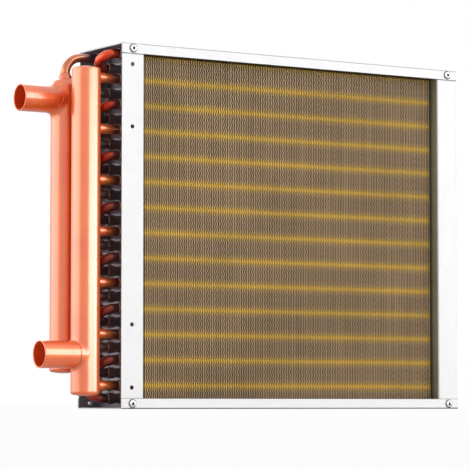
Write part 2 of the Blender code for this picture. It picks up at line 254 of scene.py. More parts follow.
def copper(name, colour, dark, metallic, roughness, coat, fades=()):
    """Satin copper: slow colour drift, faint draw lines along the tube and small tarnish spots.

    Each fade is (axis, start, end, colour): painted shade that grows from start to end, in metres along one
    axis: lower down, inward or towards the tube sheet."""
    material, tree, shader = new_tree(name)
    drift = object_noise(tree, 26.0)
    tone = ramp(tree, drift, ((0.34, dark), (0.60, colour)))
    spots = object_noise(tree, 420.0, detail=3.0, roughness=0.6)
    spot_mask = ramp(tree, spots, ((0.66, (0, 0, 0)), (0.80, (0.25, 0.25, 0.25))))
    tone = mix_colour(tree, spot_mask, tone, dark)
    for axis, start, end, tint in fades:
        place = object_axes(tree)[axis]
        along = maths(tree, "DIVIDE", maths(tree, "SUBTRACT", place, start), end - start)
        tone = mix_colour(tree, ramp(tree, along, ((0.0, (0, 0, 0)), (1.0, (1, 1, 1)))), tone, tint)
    tree.links.new(tone, shader.inputs["Base Color"])
    shader.inputs["Metallic"].default_value = metallic
    rough = ramp(tree, spots, ((0.35, (roughness - 0.02,) * 3), (0.75, (roughness + 0.05,) * 3)))
    tree.links.new(rough, shader.inputs["Roughness"])
    shader.inputs["Coat Weight"].default_value = coat
    shader.inputs["Coat Roughness"].default_value = COAT_ROUGHNESS
    shader.inputs["Coat IOR"].default_value = COAT_IOR
    fine = object_noise(tree, 900.0, stretch=(1, 1, 0.06))
    add_bump(tree, shader, fine, 0.03, 0.0003)
    return material


def galvanised(name, colour, shade, roughness, metallic):
    """Zinc-coated sheet: faint spangle, rolling lines and light handling marks."""
    material, tree, shader = new_tree(name)
    place = tree.nodes.new("ShaderNodeTexCoord")
    spangle = tree.nodes.new("ShaderNodeTexVoronoi")
    spangle.inputs["Scale"].default_value = 120.0
    tree.links.new(place.outputs["Object"], spangle.inputs["Vector"])
    flake = ramp(tree, spangle.outputs["Color"], ((0.0, shade), (1.0, colour)))
    drift = object_noise(tree, 16.0, detail=3.0)
    tone = mix_colour(tree, ramp(tree, drift, ((0.35, (0.15,) * 3), (0.65, (0.55,) * 3))), colour, flake)
    tree.links.new(tone, shader.inputs["Base Color"])
    shader.inputs["Metallic"].default_value = metallic
    rough_stops = ((0.0, (roughness - 0.06,) * 3), (1.0, (roughness + 0.06,) * 3))
    rough = ramp(tree, spangle.outputs["Color"], rough_stops)
    tree.links.new(rough, shader.inputs["Roughness"])
    lines = object_noise(tree, 700.0, stretch=(1, 1, 0.03), detail=1.0)
    add_bump(tree, shader, lines, 0.08, 0.0003)
    return material


def fin_stock():
    """Thin fin sheet with a gold tint, brightest beside the tubes, with painted shade in the gaps, under the
    channel's flange and beside the header-end sheet.
    """
    material, tree, shader = new_tree("gold_fin_stock")
    along_x, along_y, along_z = object_axes(tree)
    # distance to the nearest front or back row tube, as a share of the pitch
    height = maths(tree, "MULTIPLY", along_z, BAND_SETTLE)
    level = maths(tree, "ADD", height, -(FIN_TOP - 0.25 * TUBE_PITCH) * MM)
    turns = maths(tree, "DIVIDE", level, TUBE_PITCH * MM)
    share = maths(tree, "SUBTRACT", maths(tree, "FRACT", maths(tree, "ADD", turns, 0.5)), 0.5)
    near = maths(tree, "ABSOLUTE", share)
    band = ramp(tree, near, [(p, (v,) * 3) for p, v in BAND_PROFILE])
    streak = object_noise(tree, 600.0, stretch=(1, 0.01, 0.01), detail=1.0)
    plain = ramp(tree, streak, ((0.35, FIN_SHADE), (0.65, FIN_LIGHT)))
    gold = ramp(tree, streak, ((0.3, GOLD_SHADE), (0.7, GOLD_LIGHT)))
    tone = mix_colour(tree, band, plain, gold)
    blotch = object_noise(tree, 14.0)
    tone = mix_colour(tree, ramp(tree, blotch, ((0.35, (0.82,) * 3), (0.7, (1.0,) * 3))), (0, 0, 0), tone)
    # painted shade in the gaps, under the top channel's flange and beside the header-end sheet
    depth = maths(tree, "SUBTRACT", FIN_HALF_DEPTH * MM, maths(tree, "ABSOLUTE", along_y))
    depth = maths(tree, "DIVIDE", depth, FIN_EDGE_DEPTH * MM)
    gap = ramp(tree, depth, ((0.0, (1.0,) * 3), (0.22, (0.9,) * 3), (0.42, (0.0,) * 3)))
    floor = mix_colour(tree, band, (GAP_SHADE,) * 3, (GOLD_GAP_SHADE,) * 3)
    gap = mix_colour(tree, gap, floor, (1, 1, 1))
    tone = mix_colour(tree, gap, (0, 0, 0), tone)
    under = maths(tree, "DIVIDE", maths(tree, "SUBTRACT", along_z, FLANGE_SHADE_FROM), FLANGE_SHADE_HEIGHT)
    under_stops = ((0.0, (1.0,) * 3), (0.5, (0.97,) * 3), (0.88, (0.85,) * 3), (0.97, (0.25,) * 3))
    tone = mix_colour(tree, ramp(tree, under, under_stops), (0, 0, 0), tone)
    side = maths(tree, "DIVIDE", maths(tree, "ADD", along_x, FIN_HALF_LENGTH * MM), SHEET_SHADE_WIDTH)
    side = ramp(tree, side, ((0.55, (0.35,) * 3), (0.8, (1.0,) * 3)))
    tone = mix_colour(tree, side, (0, 0, 0), tone)
    tree.links.new(tone, shader.inputs["Base Color"])
    shader.inputs["Metallic"].default_value = 0.1
    shader.inputs["Roughness"].default_value = 0.5
    return material


def braze():
    material, tree, shader = new_tree("silver_braze")
    drift = object_noise(tree, 500.0, detail=3.0)
    tone = ramp(tree, drift, ((0.35, (0.48, 0.28, 0.22)), (0.65, (0.66, 0.46, 0.40))))
    tree.links.new(tone, shader.inputs["Base Color"])
    shader.inputs["Metallic"].default_value = 0.8
    shader.inputs["Roughness"].default_value = 0.3
    add_bump(tree, shader, drift, 0.3, 0.0004)
    return material


# Fade colour for painted shade, where the tubes and bends run towards the tube sheet or inward
RECESS_SHADE = (0.16, 0.09, 0.10)
HEADER_COPPER = copper("satin_header_copper", (0.97, 0.19, 0.03), (0.92, 0.15, 0.02), 0.5, 0.42, 1.0)
FLUX_COPPER = copper("flux_stained_copper", (0.36, 0.10, 0.045), (0.22, 0.06, 0.03), 0.5, 0.5, 0.1)
# The stub's fade is painted shade where it runs into the bell
STUB_COPPER = copper("brazed_stub_copper", (0.90, 0.27, 0.07), (0.78, 0.18, 0.035), 0.7, 0.3, 0.2,
                     [(0, -0.2105, -0.203, (0.17, 0.05, 0.03))])
TUBE_COPPER = copper("drawn_tube_copper", (0.92, 0.27, 0.07), (0.78, 0.18, 0.035), 0.55, 0.3, 0.2)
# The feeder's fade is painted shade towards the tube sheet
FEEDER_COPPER = copper("bent_feeder_copper", (0.74, 0.26, 0.10), (0.52, 0.15, 0.06), 0.8, 0.32, 0.4,
                       [(0, -0.222, -0.207, RECESS_SHADE)])
# The bends' fades are painted shade: darker lower down, inward and towards the tube sheet
BEND_COPPER = copper("heat_reddened_copper", (0.50, 0.04, 0.014), (0.32, 0.025, 0.012), 0.9, 0.36, 0.1,
                     [(2, 0.29, 0.18, (0.24, 0.045, 0.03)), (0, -0.208, -0.201, RECESS_SHADE),
                      (1, -0.0185, -0.0130, RECESS_SHADE)])
# A lighter copy of the bend copper as painted light on the lowest back bend, with painted shade towards the
# tube sheet
BACK_BEND_COPPER = copper("painted_light_back_bend_copper", (0.62, 0.09, 0.03), (0.40, 0.05, 0.02), 0.9, 0.36, 0.1,
                          [(0, -0.212, -0.202, RECESS_SHADE)])
# A brighter copy of the bend copper as painted light on the top front bend, with painted shade towards the
# tube sheet
TOP_BEND_COPPER = copper("painted_light_top_bend_copper", (0.74, 0.07, 0.018), (0.58, 0.05, 0.015), 0.9, 0.34, 0.2,
                         [(0, -0.206, -0.200, (0.25, 0.04, 0.02))])
# Painted shade: darkened copper for the tube bells and the inner bends at the header end
SHADED_COPPER = copper("painted_shade_copper", (0.24, 0.14, 0.125), (0.14, 0.12, 0.12), 0.6, 0.42, 0.1)
BRIGHT_SHEET = galvanised("bright_galvanised_sheet", (0.78, 0.785, 0.79), (0.73, 0.735, 0.745), 0.48, 0.1)
# Painted shade: the dark sheet on the linings of the folded sheets, the web's outer face and the collars'
# feet
SHADED_SHEET = galvanised("painted_shade_sheet_lining", (0.27, 0.275, 0.32), (0.20, 0.205, 0.24), 0.45, 0.2)
# Dark sheet for the cut edges, darkened further as painted shade, and painted shade along the underside folds
EDGE_AND_SHADE_SHEET = galvanised("cut_edge_and_painted_shade_sheet", (0.17, 0.15, 0.155), (0.11, 0.095, 0.10), 0.4, 0.3)
# Painted highlight: the bright bluish sheet on the web's beads
BEAD_SHEET = galvanised("painted_highlight_bead", (0.85, 0.90, 1.0), (0.66, 0.71, 0.82), 0.4, 0.0)
# Painted shade: a darker, yellowish sheet for the webs' faces towards the fins
INNER_SHEET = galvanised("painted_shade_sheet_inside", (0.50, 0.47, 0.34), (0.41, 0.38, 0.28), 0.4, 0.3)
# Painted shade: the grey sheet on the outside of the top folds
FOLD_SHEET = galvanised("painted_shade_fold", (0.50, 0.51, 0.54), (0.38, 0.39, 0.42), 0.45, 0.2)
FIN_STOCK = fin_stock()
BRAZE = braze()
RIVET_METAL = galvanised("rivet_aluminium", (0.80, 0.81, 0.83), (0.70, 0.71, 0.73), 0.3, 0.8)
# Dark steel of the mandrel, also used as painted shade round the rivet head's edge
MANDREL_AND_RIM_SHADE = galvanised("rivet_mandrel_and_rim_shade", (0.08, 0.08, 0.09), (0.05, 0.05, 0.06), 0.5, 0.8)


# Mesh helpers; shapes are drawn in millimetres

def resize(shape, factor):
    bmesh.ops.scale(shape, vec=Vector((factor, factor, factor)), verts=shape.verts)


def drawn_again(mesh):
    """A mesh's shape, back in millimetres."""
    shape = bmesh.new()
    shape.from_mesh(mesh)
    resize(shape, 1000)
    return shape


def store(shape, piece, smooth):
    """Closes a shape that was drawn again: its faces turned outward, in metres, on its piece."""
    bmesh.ops.recalc_face_normals(shape, faces=shape.faces)
    resize(shape, MM)
    shape.to_mesh(piece.data)
    shape.free()
    piece.data.shade_smooth()
    piece.data.set_sharp_from_angle(angle=math.radians(smooth))


def finish_piece(name, shape, materials, nodes=(), smooth=40.0):
    """A shape made into a piece that stands for its nodes; edges sharper than smooth degrees stay sharp."""
    resize(shape, MM)
    mesh = bpy.data.meshes.new(name)
    shape.to_mesh(mesh)
    shape.free()
    for material in materials:
        mesh.materials.append(material)
    if smooth is not None:
        mesh.shade_smooth()
        mesh.set_sharp_from_angle(angle=math.radians(smooth))
    piece = bpy.data.objects.new(name, mesh)
    bpy.context.scene.collection.objects.link(piece)
    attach(piece, "root")
    if nodes:
        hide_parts(*nodes)
    return piece


def ring(shape, centre, axis, side, radius, count):
    """A loop of points round an axis; the first of them lies towards the side vector."""
    other = axis.cross(side)
    made = []
    for step in range(count):
        angle = 2 * math.pi * step / count
        offset = side * math.cos(angle) + other * math.sin(angle)
        made.append(shape.verts.new(centre + offset * radius))
    return made


def bridge(shape, near, far, material=0):
    count = len(near)
    for step in range(count):
        after = (step + 1) % count
        face = shape.faces.new((near[step], near[after], far[after], far[step]))
        face.material_index = material


def cap(shape, loop, material=0, flip=False):
    face = shape.faces.new(list(reversed(loop)) if flip else loop)
    face.material_index = material


def sweep(shape, stations, side, count, material=0):
    """A closed tube along (centre, axis, radius) stations; each ring keeps the same side vector."""
    rings = [ring(shape, c, a, side, r, count) for c, a, r in stations]
    for near, far in zip(rings, rings[1:]):
        bridge(shape, near, far, material)
    cap(shape, rings[0], material, flip=True)
    cap(shape, rings[-1], material)


def straight(start, end, profile):
    """Stations along a straight line, with (distance from start, radius) pairs."""
    axis = (end - start).normalized()
    return [(start + axis * distance, axis, radius) for distance, radius in profile]


def u_bend(first, second, outward, steps, radius):
    """Stations of a half turn from the first place to the second, on the outward side."""
    middle = (first + second) / 2
    across = (second - first) / 2
    made = []
    for step in range(steps + 1):
        angle = math.pi * step / steps
        centre = middle - across * math.cos(angle) + outward * across.length * math.sin(angle)
        axis = across.normalized() * math.sin(angle) + outward * math.cos(angle)
        made.append((centre, axis, radius))
    return made


def torus(shape, centre, axis, side, big, small, count, sides, material):
    """A thin ring bead round an axis."""
    other = axis.cross(side)
    loops = []
    for step in range(count):
        angle = 2 * math.pi * step / count
        out = side * math.cos(angle) + other * math.sin(angle)
        loop = []
        for part in range(sides):
            turn = 2 * math.pi * part / sides
            place = centre + out * (big + small * math.cos(turn)) + axis * small * math.sin(turn)
            loop.append(shape.verts.new(place))
        loops.append(loop)
    for step in range(count):
        near, far = loops[step], loops[(step + 1) % count]
        for part in range(sides):
            after = (part + 1) % sides
            face = shape.faces.new((near[part], far[part], far[after], near[after]))
            face.material_index = material


def bell_braze(shape, y, z):
    """The ring of braze at a bell's mouth."""
    torus(shape, Vector((BELL_END, y, z)), X_AXIS, Y_AXIS, BRAZE_RADIUS, BRAZE_BEAD, STUB_SIDES, 6, BRAZED)


def arc(centre_a, centre_b, radius, start, end, steps):
    """Points on an arc in a plane; start and end are in degrees."""
    made = []
    for step in range(steps + 1):
        angle = math.radians(start + (end - start) * step / steps)
        made.append((centre_a + radius * math.cos(angle), centre_b + radius * math.sin(angle)))
    return made


def curve(foot, knee, top):
    """Points on a smooth curve that leaves the foot towards the knee and meets the top from it."""
    shares = [part / CURVE_STEPS for part in range(CURVE_STEPS + 1)]
    return [foot * (1 - t) ** 2 + knee * 2 * t * (1 - t) + top * t ** 2 for t in shares]


def cut(piece, tool):
    """The piece's mesh with the tool taken out of it; the tool itself is removed."""
    modifier = piece.modifiers.new("cut", "BOOLEAN")
    modifier.operation = "DIFFERENCE"
    modifier.solver = "EXACT"
    modifier.object = tool
    graph = bpy.context.evaluated_depsgraph_get()
    mesh = bpy.data.meshes.new_from_object(piece.evaluated_get(graph))
    piece.modifiers.clear()
    bpy.data.objects.remove(tool, do_unlink=True)
    return mesh


# Fins

def make_fins():
    """Rippled fins in four sections: each is a thin plate with a wedge-shaped edge on both air faces."""
    count = int((2 * FIN_HALF_LENGTH - 2 * FIN_MARGIN) / FIN_PITCH) + 1
    height = FIN_TOP - FIN_BOTTOM
    steps = round(height / FIN_RIPPLE * RIPPLE_STEPS)
    near = FIN_HALF_DEPTH - FIN_EDGE_DEPTH
    corners = [(-near, FIN_BOTTOM), (near, FIN_BOTTOM), (near, FIN_TOP), (-near, FIN_TOP)]
    for section in range(FIN_SECTIONS):
        shape = bmesh.new()
        for index in range(count * section // FIN_SECTIONS, count * (section + 1) // FIN_SECTIONS):
            x = -FIN_HALF_LENGTH + FIN_MARGIN + index * FIN_PITCH
            lean = RNG.uniform(-FIN_LEAN, FIN_LEAN)
            for facing in (-1, 1):
                loops = []
                for step in range(steps + 1):
                    z = FIN_BOTTOM + height * step / steps
                    ripple = RIPPLE_REACH * math.sin(2 * math.pi * step / RIPPLE_STEPS)
                    edge = x + lean * math.sin(z / FIN_LEAN_WAVE + index) + ripple
                    loops.append([shape.verts.new(place) for place in (
                        (edge - 0.5 * FIN_EDGE, facing * FIN_HALF_DEPTH, z),
                        (edge + 0.5 * FIN_EDGE, facing * FIN_HALF_DEPTH, z),
                        (x, facing * near, z))])
                for low, high in zip(loops, loops[1:]):
                    bridge(shape, low, high)
            shape.faces.new([shape.verts.new((x, y, z)) for y, z in corners])
        finish_piece(f"fins_section_{section + 1}", shape, [FIN_STOCK], ["fin_pack"], None)


# Tubes

def make_hairpins():
    """Tubes in pairs, each pair bent round at the return end, with belled mouths at the header end."""
    run = HAIRPIN_TURN_X - BELL_END
    profile = [(3.0, TUBE_BORE), (0.15, BELL_RADIUS - 0.75), (0.0, BELL_RADIUS - 0.45),
               (0.15, BELL_RADIUS - 0.05), (0.5, BELL_RADIUS), (1.0, BELL_RADIUS), (5.8, BELL_RADIUS),
               (6.2, BELL_RADIUS), (7.0, BELL_RADIUS - 0.15), (8.0, TUBE_RADIUS + 0.2),
               (8.8, TUBE_RADIUS), (9.6, TUBE_RADIUS), (run - 1.0, TUBE_RADIUS), (run, TUBE_RADIUS)]
    for row in ROWS:
        for pair in range(1, HAIRPINS_PER_ROW + 1):
            number = 2 * pair - 1
            upper = Vector((BELL_END, row_y(row), tube_z(row, number)))
            lower = Vector((BELL_END, row_y(row), tube_z(row, number + 1)))
            first = [(upper + X_AXIS * d, X_AXIS, r) for d, r in profile]
            last = [(lower + X_AXIS * d, -X_AXIS, r) for d, r in reversed(profile)]
            turn = u_bend(upper + X_AXIS * run, lower + X_AXIS * run, X_AXIS, HAIRPIN_STEPS, TUBE_RADIUS)
            shape = bmesh.new()
            sweep(shape, first + turn[1:-1] + last, Y_AXIS, TUBE_SIDES)
            # The header-end half, with the bells, gets the painted-shade copper
            for face in shape.faces:
                face.material_index = 1 if face.calc_center_median().x > 0 else 0
            finish_piece(f"hairpin_tube_{row}_{pair:02d}", shape, [SHADED_COPPER, TUBE_COPPER],
                         [f"hairpin_{row}_{pair:02d}"])


def make_return_bends():
    """Slanting bends at the header end, from the front row to the middle one and on to the back."""
    outward = -X_AXIS
    seat = outward * BEND_SEAT
    # Painted light: the top front bend and the lowest back bend get the lighter copies; the other back bends
    # get the painted-shade copper
    special = {("front", 1): TOP_BEND_COPPER, ("back", HAIRPINS_PER_ROW): BACK_BEND_COPPER}
    for pair in range(1, HAIRPINS_PER_ROW + 1):
        for name, rows, number, metal in (
            ("front", ("front", "middle"), 2 * pair - 1, BEND_COPPER),
            # The middle-to-back bends get the painted-shade copper
            ("back", ("middle", "back"), 2 * pair, SHADED_COPPER),
        ):
            first, second = [Vector((BEND_END, row_y(row), tube_z(row, number))) for row in rows]
            turn = u_bend(first, second, outward, BEND_STEPS, TUBE_RADIUS)
            stations = [(first - seat, outward, TUBE_RADIUS)] + turn
            stations += [(second - seat, -outward, TUBE_RADIUS)]
            side = outward.cross(second - first).normalized()
            shape = bmesh.new()
            sweep(shape, stations, side, TUBE_SIDES)
            for place in (first, second):
                bell_braze(shape, place.y, place.z)
            finish_piece(f"bend_{name}_{pair:02d}", shape, [special.get((name, pair), metal), BRAZE],
                         [f"return_bend_{name}_{pair:02d}"])


# Headers and ports

def stub_collar(shape, y, z):
    """A short drawn neck round a stub's root, and the braze between its rim and the stub."""
    spread = 0.9
    lift = 1.2
    radius = STUB_COLLAR_RADIUS
    loops = [[] for _ in range(CURVE_STEPS + 1)]
    for step in range(STUB_SIDES):
        angle = 2 * math.pi * step / STUB_SIDES
        cy, cz = math.cos(angle), math.sin(angle)
        turn = math.asin(radius * cy / HEADER_RADIUS)
        skirt_turn = turn + cy * spread / HEADER_RADIUS * SKIRT_REACH
        root = HEADER_RADIUS * math.cos(turn)
        foot = Vector((HEADER_RADIUS * math.cos(skirt_turn), y + HEADER_RADIUS * math.sin(skirt_turn),
                       z + (radius + spread) * cz))
        knee = Vector((root, y + radius * cy, z + radius * cz))
        top = Vector((root + lift * (0.35 + 0.65 * abs(cz)), y + radius * cy, z + radius * cz))
        for loop, point in zip(loops, curve(foot, knee, top)):
            loop.append(shape.verts.new((HEADER_X + point.x, point.y, point.z)))
    rim = [shape.verts.new((STUB_COLLAR_RIM, v.co.y, v.co.z)) for v in loops[-1]]
    for near, far in zip(loops, loops[1:] + [rim]):
        bridge(shape, near, far)
    share = TUBE_RADIUS / radius
    inner = [shape.verts.new((STUB_BRAZE_END, y + (v.co.y - y) * share, z + (v.co.z - z) * share))
             for v in rim]
    bridge(shape, rim, inner, BRAZED)


def port_collar(shape, y, z, spread, reach, clear, ring_metal, shoulder, swell):
    """The drawn collar of a water port: a smooth flare out of the header, a rim and the joint's ring.

    spread is how far the flare reaches over the header.
    The rim stands reach from the header's axis, or clear of the header's wall where that is further.
    ring_metal is the material number of the joint's ring.
    shoulder is (height above the port, radius) of the rounding at the header's top.
    swell is how far the flare is filled out above the port."""
    shoulder_height, shoulder_radius = shoulder
    loops = [[] for _ in range(CURVE_STEPS + 5)]
    for step in range(ROUND_SIDES):
        angle = 2 * math.pi * step / ROUND_SIDES
        cy, cz = math.cos(angle), math.sin(angle)
        turn = math.asin(COLLAR_RADIUS * cy / HEADER_RADIUS)
        skirt_turn = turn + cy * spread / HEADER_RADIUS * SKIRT_REACH
        root = HEADER_RADIUS * math.cos(turn)
        rim = max(reach, root + clear)
        crest = min(rim - 0.3, root + spread)
        rise = (COLLAR_RADIUS + spread) * cz
        past = max(0.0, rise - shoulder_height)
        wall = HEADER_RADIUS - shoulder_radius + math.sqrt(shoulder_radius ** 2 - past ** 2)
        foot = Vector((wall * math.cos(skirt_turn), wall * math.sin(skirt_turn), rise))
        knee = Vector((root + swell * max(0.0, cz) ** 2, COLLAR_RADIUS * cy, COLLAR_RADIUS * cz))
        top = Vector((crest, COLLAR_RADIUS * cy, COLLAR_RADIUS * cz))
        lip = ((rim - 0.12, COLLAR_RADIUS), (rim, COLLAR_RADIUS - 0.12), (rim + 0.05, PORT_RADIUS + 0.06),
               (rim + 0.65, PORT_RADIUS + 0.02))
        points = curve(foot, knee, top) + [Vector((out, radius * cy, radius * cz)) for out, radius in lip]
        for loop, point in zip(loops, points):
            loop.append(shape.verts.new((HEADER_X - point.x, y + point.y, z + point.z)))
    for near, far in zip(loops, loops[1:]):
        bridge(shape, near, far, ring_metal if far is loops[-1] else PLAIN)


def lathe(shape, x, y, profile, count):
    """A closed solid of revolution round an upright axis, from (radius, z) pairs."""
    loops = []
    for radius, z in profile:
        if radius <= 0.001:
            loops.append([shape.verts.new((x, y, z))])
        else:
            loops.append(ring(shape, Vector((x, y, z)), Z_AXIS, X_AXIS, radius, count))
    for near, far in zip(loops, loops[1:]):
        for step in range(count):
            after = (step + 1) % count
            if len(near) == 1:
                shape.faces.new((near[0], far[after], far[step]))
            elif len(far) == 1:
                shape.faces.new((near[step], near[after], far[0]))
            else:
                shape.faces.new((near[step], near[after], far[after], far[step]))


def header_body(shape, y, low, high, has_neck):
    """A closed header tube with rolled ends, or with a shoulder and a drawn neck at its top."""
    profile = [(0.0, low)]
    edge = arc(HEADER_RADIUS - 2.8, low + 3.9, 2.8, 292, 360, 6)
    edge_r, edge_z = edge[0]
    for step in range(1, 7):
        share = step / 7
        profile.append((edge_r * share, low + (edge_z - low) * share ** 2.4))
    profile += edge
    profile += [(HEADER_RADIUS, low + 5.0)]
    if has_neck:
        profile += [(HEADER_RADIUS, high - HEADER_SHOULDER - 1.2)]
        profile += arc(HEADER_RADIUS - HEADER_SHOULDER, high - HEADER_SHOULDER, HEADER_SHOULDER, 0, 78, 8)
        profile += [(NECK_RADIUS + out, high + rise) for out, rise in (
            (2.1, 0.3), (1.85, 1.1), (1.5, 2.1), (1.05, 3.2), (0.55, 4.3), (0.2, 5.0),
            (0.0, NECK_HEIGHT - 0.2))]
        profile += [(TUBE_RADIUS, high + NECK_HEIGHT), (0.0, high + NECK_HEIGHT)]
    else:
        profile += [(HEADER_RADIUS, high - 4.6)]
        profile += arc(HEADER_RADIUS - 1.5, high - 3.4, 1.5, 0, 58, 5)
        edge_r, edge_z = profile[-1]
        for step in range(1, 8):
            share = step / 7
            profile.append((edge_r * (1 - share), edge_z + (high - edge_z) * math.sin(share * math.pi / 2)))
    lathe(shape, HEADER_X, y, profile, ROUND_SIDES)


def make_header(row, span, port_z, stubs, has_neck, collar):
    """One header with its port's collar and bore, and with a stub at each numbered tube of its row."""
    y = row_y(row)
    low, high = span
    shape = bmesh.new()
    header_body(shape, y, low, high, has_neck)
    bmesh.ops.recalc_face_normals(shape, faces=shape.faces)
    name = f"{row}_header_tube"
    metals = [HEADER_COPPER, BRAZE, STUB_COPPER, FLUX_COPPER]
    body = finish_piece(name, shape, metals, [f"{row}_header"])
    cutter_shape = bmesh.new()
    start = Vector((HEADER_X - 20, y, port_z))
    stations = straight(start, start + X_AXIS * 20, [(0.0, PORT_BORE), (20.0, PORT_BORE)])
    sweep(cutter_shape, stations, Y_AXIS, BORE_SIDES)
    mesh = cut(body, finish_piece(name + "_bore_cutter", cutter_shape, [TUBE_COPPER], (), None))

    shape = drawn_again(mesh)
    port_collar(shape, y, port_z, **collar)
    if not has_neck:
        # the line where the end cap is rolled in
        seam = Vector((HEADER_X, y, high - 2.3))
        torus(shape, seam, Z_AXIS, X_AXIS, 13.55, BRAZE_BEAD, ROUND_SIDES, 6, FLUX)
    for number in stubs:
        z = tube_z(row, number)
        stub_collar(shape, y, z)
        start = Vector((HEADER_X + 13.0, y, z))
        end = Vector((BELL_END + 4.0, y, z))
        stations = straight(start, end, [(0.0, TUBE_RADIUS), ((end - start).length, TUBE_RADIUS)])
        sweep(shape, stations, Y_AXIS, STUB_SIDES, STUB)
        bell_braze(shape, y, z)
    store(shape, body, 40)
    bpy.data.meshes.remove(mesh)


def make_port(row, z):
    """An open pipe with a rounded mouth."""
    start = Vector((PORT_MOUTH_X, row_y(row), z))
    length = PORT_INNER_END - PORT_MOUTH_X
    outside = [(0.0, PORT_RADIUS - 0.55), (0.12, PORT_RADIUS - 0.2), (0.4, PORT_RADIUS), (1.0, PORT_RADIUS),
               (length, PORT_RADIUS)]
    inside = [(length, PORT_BORE), (1.0, PORT_BORE), (0.5, PORT_BORE), (0.12, PORT_BORE + 0.2),
              (0.0, PORT_BORE + 0.5)]
    shape = bmesh.new()
    rings = [ring(shape, start + X_AXIS * d, X_AXIS, Y_AXIS, r, ROUND_SIDES) for d, r in outside + inside]
    for near, far in zip(rings, rings[1:] + rings[:1]):
        bridge(shape, near, far)
    bmesh.ops.recalc_face_normals(shape, faces=shape.faces)
    finish_piece(f"{row}_port_pipe", shape, [HEADER_COPPER], [f"{row}_port"], 60.0)


def make_top_feeder():
    """The tube that leaves the back header's neck upward and bends over into the top back tube."""
    y = row_y("back")
    foot = BACK_HEADER[1]
    top = tube_z("back", 1)
    settled = top - FEEDER_DROP
    stations = [(Vector((HEADER_X, y, foot + 0.5)), Z_AXIS, TUBE_RADIUS)]
    for step in range(15):
        angle = math.pi / 2 * step / 14
        cos, sin = math.cos(angle), math.sin(angle)
        centre = Vector((HEADER_X + FEEDER_BEND * (1 - cos), y, settled - FEEDER_BEND * (1 - sin)))
        stations.append((centre, Z_AXIS * cos + X_AXIS * sin, TUBE_RADIUS - 0.45 * sin))
    stations.append((Vector((BELL_END - 8.0, y, settled + 0.1)), X_AXIS, TUBE_RADIUS - 0.4))
    stations.append((Vector((BELL_END - 2.0, y, top)), X_AXIS, TUBE_RADIUS))
    stations.append((Vector((BELL_END + 4.0, y, top)), X_AXIS, TUBE_RADIUS))
    shape = bmesh.new()
    sweep(shape, stations, Y_AXIS, STUB_SIDES)
    bell_braze(shape, y, top)
    torus(shape, Vector((HEADER_X, y, foot + NECK_HEIGHT)), Z_AXIS, X_AXIS, 4.9, 0.35, 26, 8, BRAZED)
    bmesh.ops.recalc_face_normals(shape, faces=shape.faces)
    finish_piece("top_feeder_tube", shape, [FEEDER_COPPER, BRAZE], ["back_top_feeder"])


# Casing

def sheet_outline(width, leg):
    """Section of a folded sheet as (point, material number) pairs."""
    outer = FOLD_INSIDE + SHEET
    half = width / 2
    turn = half - outer
    skin = [(-half, leg - CUT_EDGE), (-half, outer + 0.8)]
    skin += arc(-turn, outer, outer, 180, 270, 7)
    skin += [(0.8 - turn, 0.0), (turn - 0.8, 0.0)]
    skin += arc(turn, outer, outer, 270, 360, 7)
    skin += [(half, outer + 0.8), (half, leg - CUT_EDGE)]
    # The lining, the inner side of the fold, is painted shade
    lining = [(half - SHEET, leg - 0.2), (half - SHEET, outer + 0.6)]
    lining += arc(turn, outer, FOLD_INSIDE, 360, 270, 4)
    lining += [(turn - 0.6, SHEET), (0.6 - turn, SHEET)]
    lining += arc(-turn, outer, FOLD_INSIDE, 270, 180, 4)
    lining += [(SHEET - half, outer + 0.6), (SHEET - half, leg - 0.2)]
    # The cut ends of the legs are dark bare steel, darkened further as the painted shade line under the
    # flange's edge
    right = [(half - CUT_EDGE, leg), (half - SHEET + 0.2, leg)]
    left = [(SHEET - half - 0.2, leg), (CUT_EDGE - half, leg)]
    outline = []
    for points, number in ((skin, BRIGHT), (right, EDGE_AND_SHADE), (lining, SHADED), (left, EDGE_AND_SHADE)):
        outline += [(point, number) for point in points]
    return outline


def extrude_sheet(name, nodes, outline, place, low, high, paint, cutters=()):
    """A folded sheet between two ends; cutters are (start, end, radius) holes.

    place puts a point of the section at a distance along the sheet. paint gives a face another
    material number by its centre in millimetres and its normal, or None."""
    shape = bmesh.new()
    near = [shape.verts.new(place(a, b, low)) for (a, b), _ in outline]
    far = [shape.verts.new(place(a, b, high)) for (a, b), _ in outline]
    for step in range(len(outline)):
        after = (step + 1) % len(outline)
        face = shape.faces.new((near[step], near[after], far[after], far[step]))
        skins = (outline[step][1], outline[after][1])
        face.material_index = EDGE_AND_SHADE if EDGE_AND_SHADE in skins else SHADED if skins == (SHADED, SHADED) else BRIGHT
    cap(shape, near, BRIGHT, flip=True)
    cap(shape, far, BRIGHT)
    bmesh.ops.recalc_face_normals(shape, faces=shape.faces)
    sheets = [BRIGHT_SHEET, SHADED_SHEET, EDGE_AND_SHADE_SHEET, INNER_SHEET, BEAD_SHEET, FOLD_SHEET]
    piece = finish_piece(name, shape, sheets, nodes, 25.0)
    if cutters:
        tool_shape = bmesh.new()
        for start, end, radius in cutters:
            stations = straight(start, end, [(0.0, radius), ((end - start).length, radius)])
            sweep(tool_shape, stations, Z_AXIS, HOLE_SIDES)
        bmesh.ops.recalc_face_normals(tool_shape, faces=tool_shape.faces)
        old = piece.data
        piece.data = cut(piece, finish_piece(name + "_cutter", tool_shape, [SHADED_SHEET], (), None))
        bpy.data.meshes.remove(old)
    shape = bmesh.new()
    shape.from_mesh(piece.data)
    for face in shape.faces:
        choice = paint(face.calc_center_median() / MM, face.normal)
        if choice is not None:
            face.material_index = choice
    shape.to_mesh(piece.data)
    shape.free()
    return piece


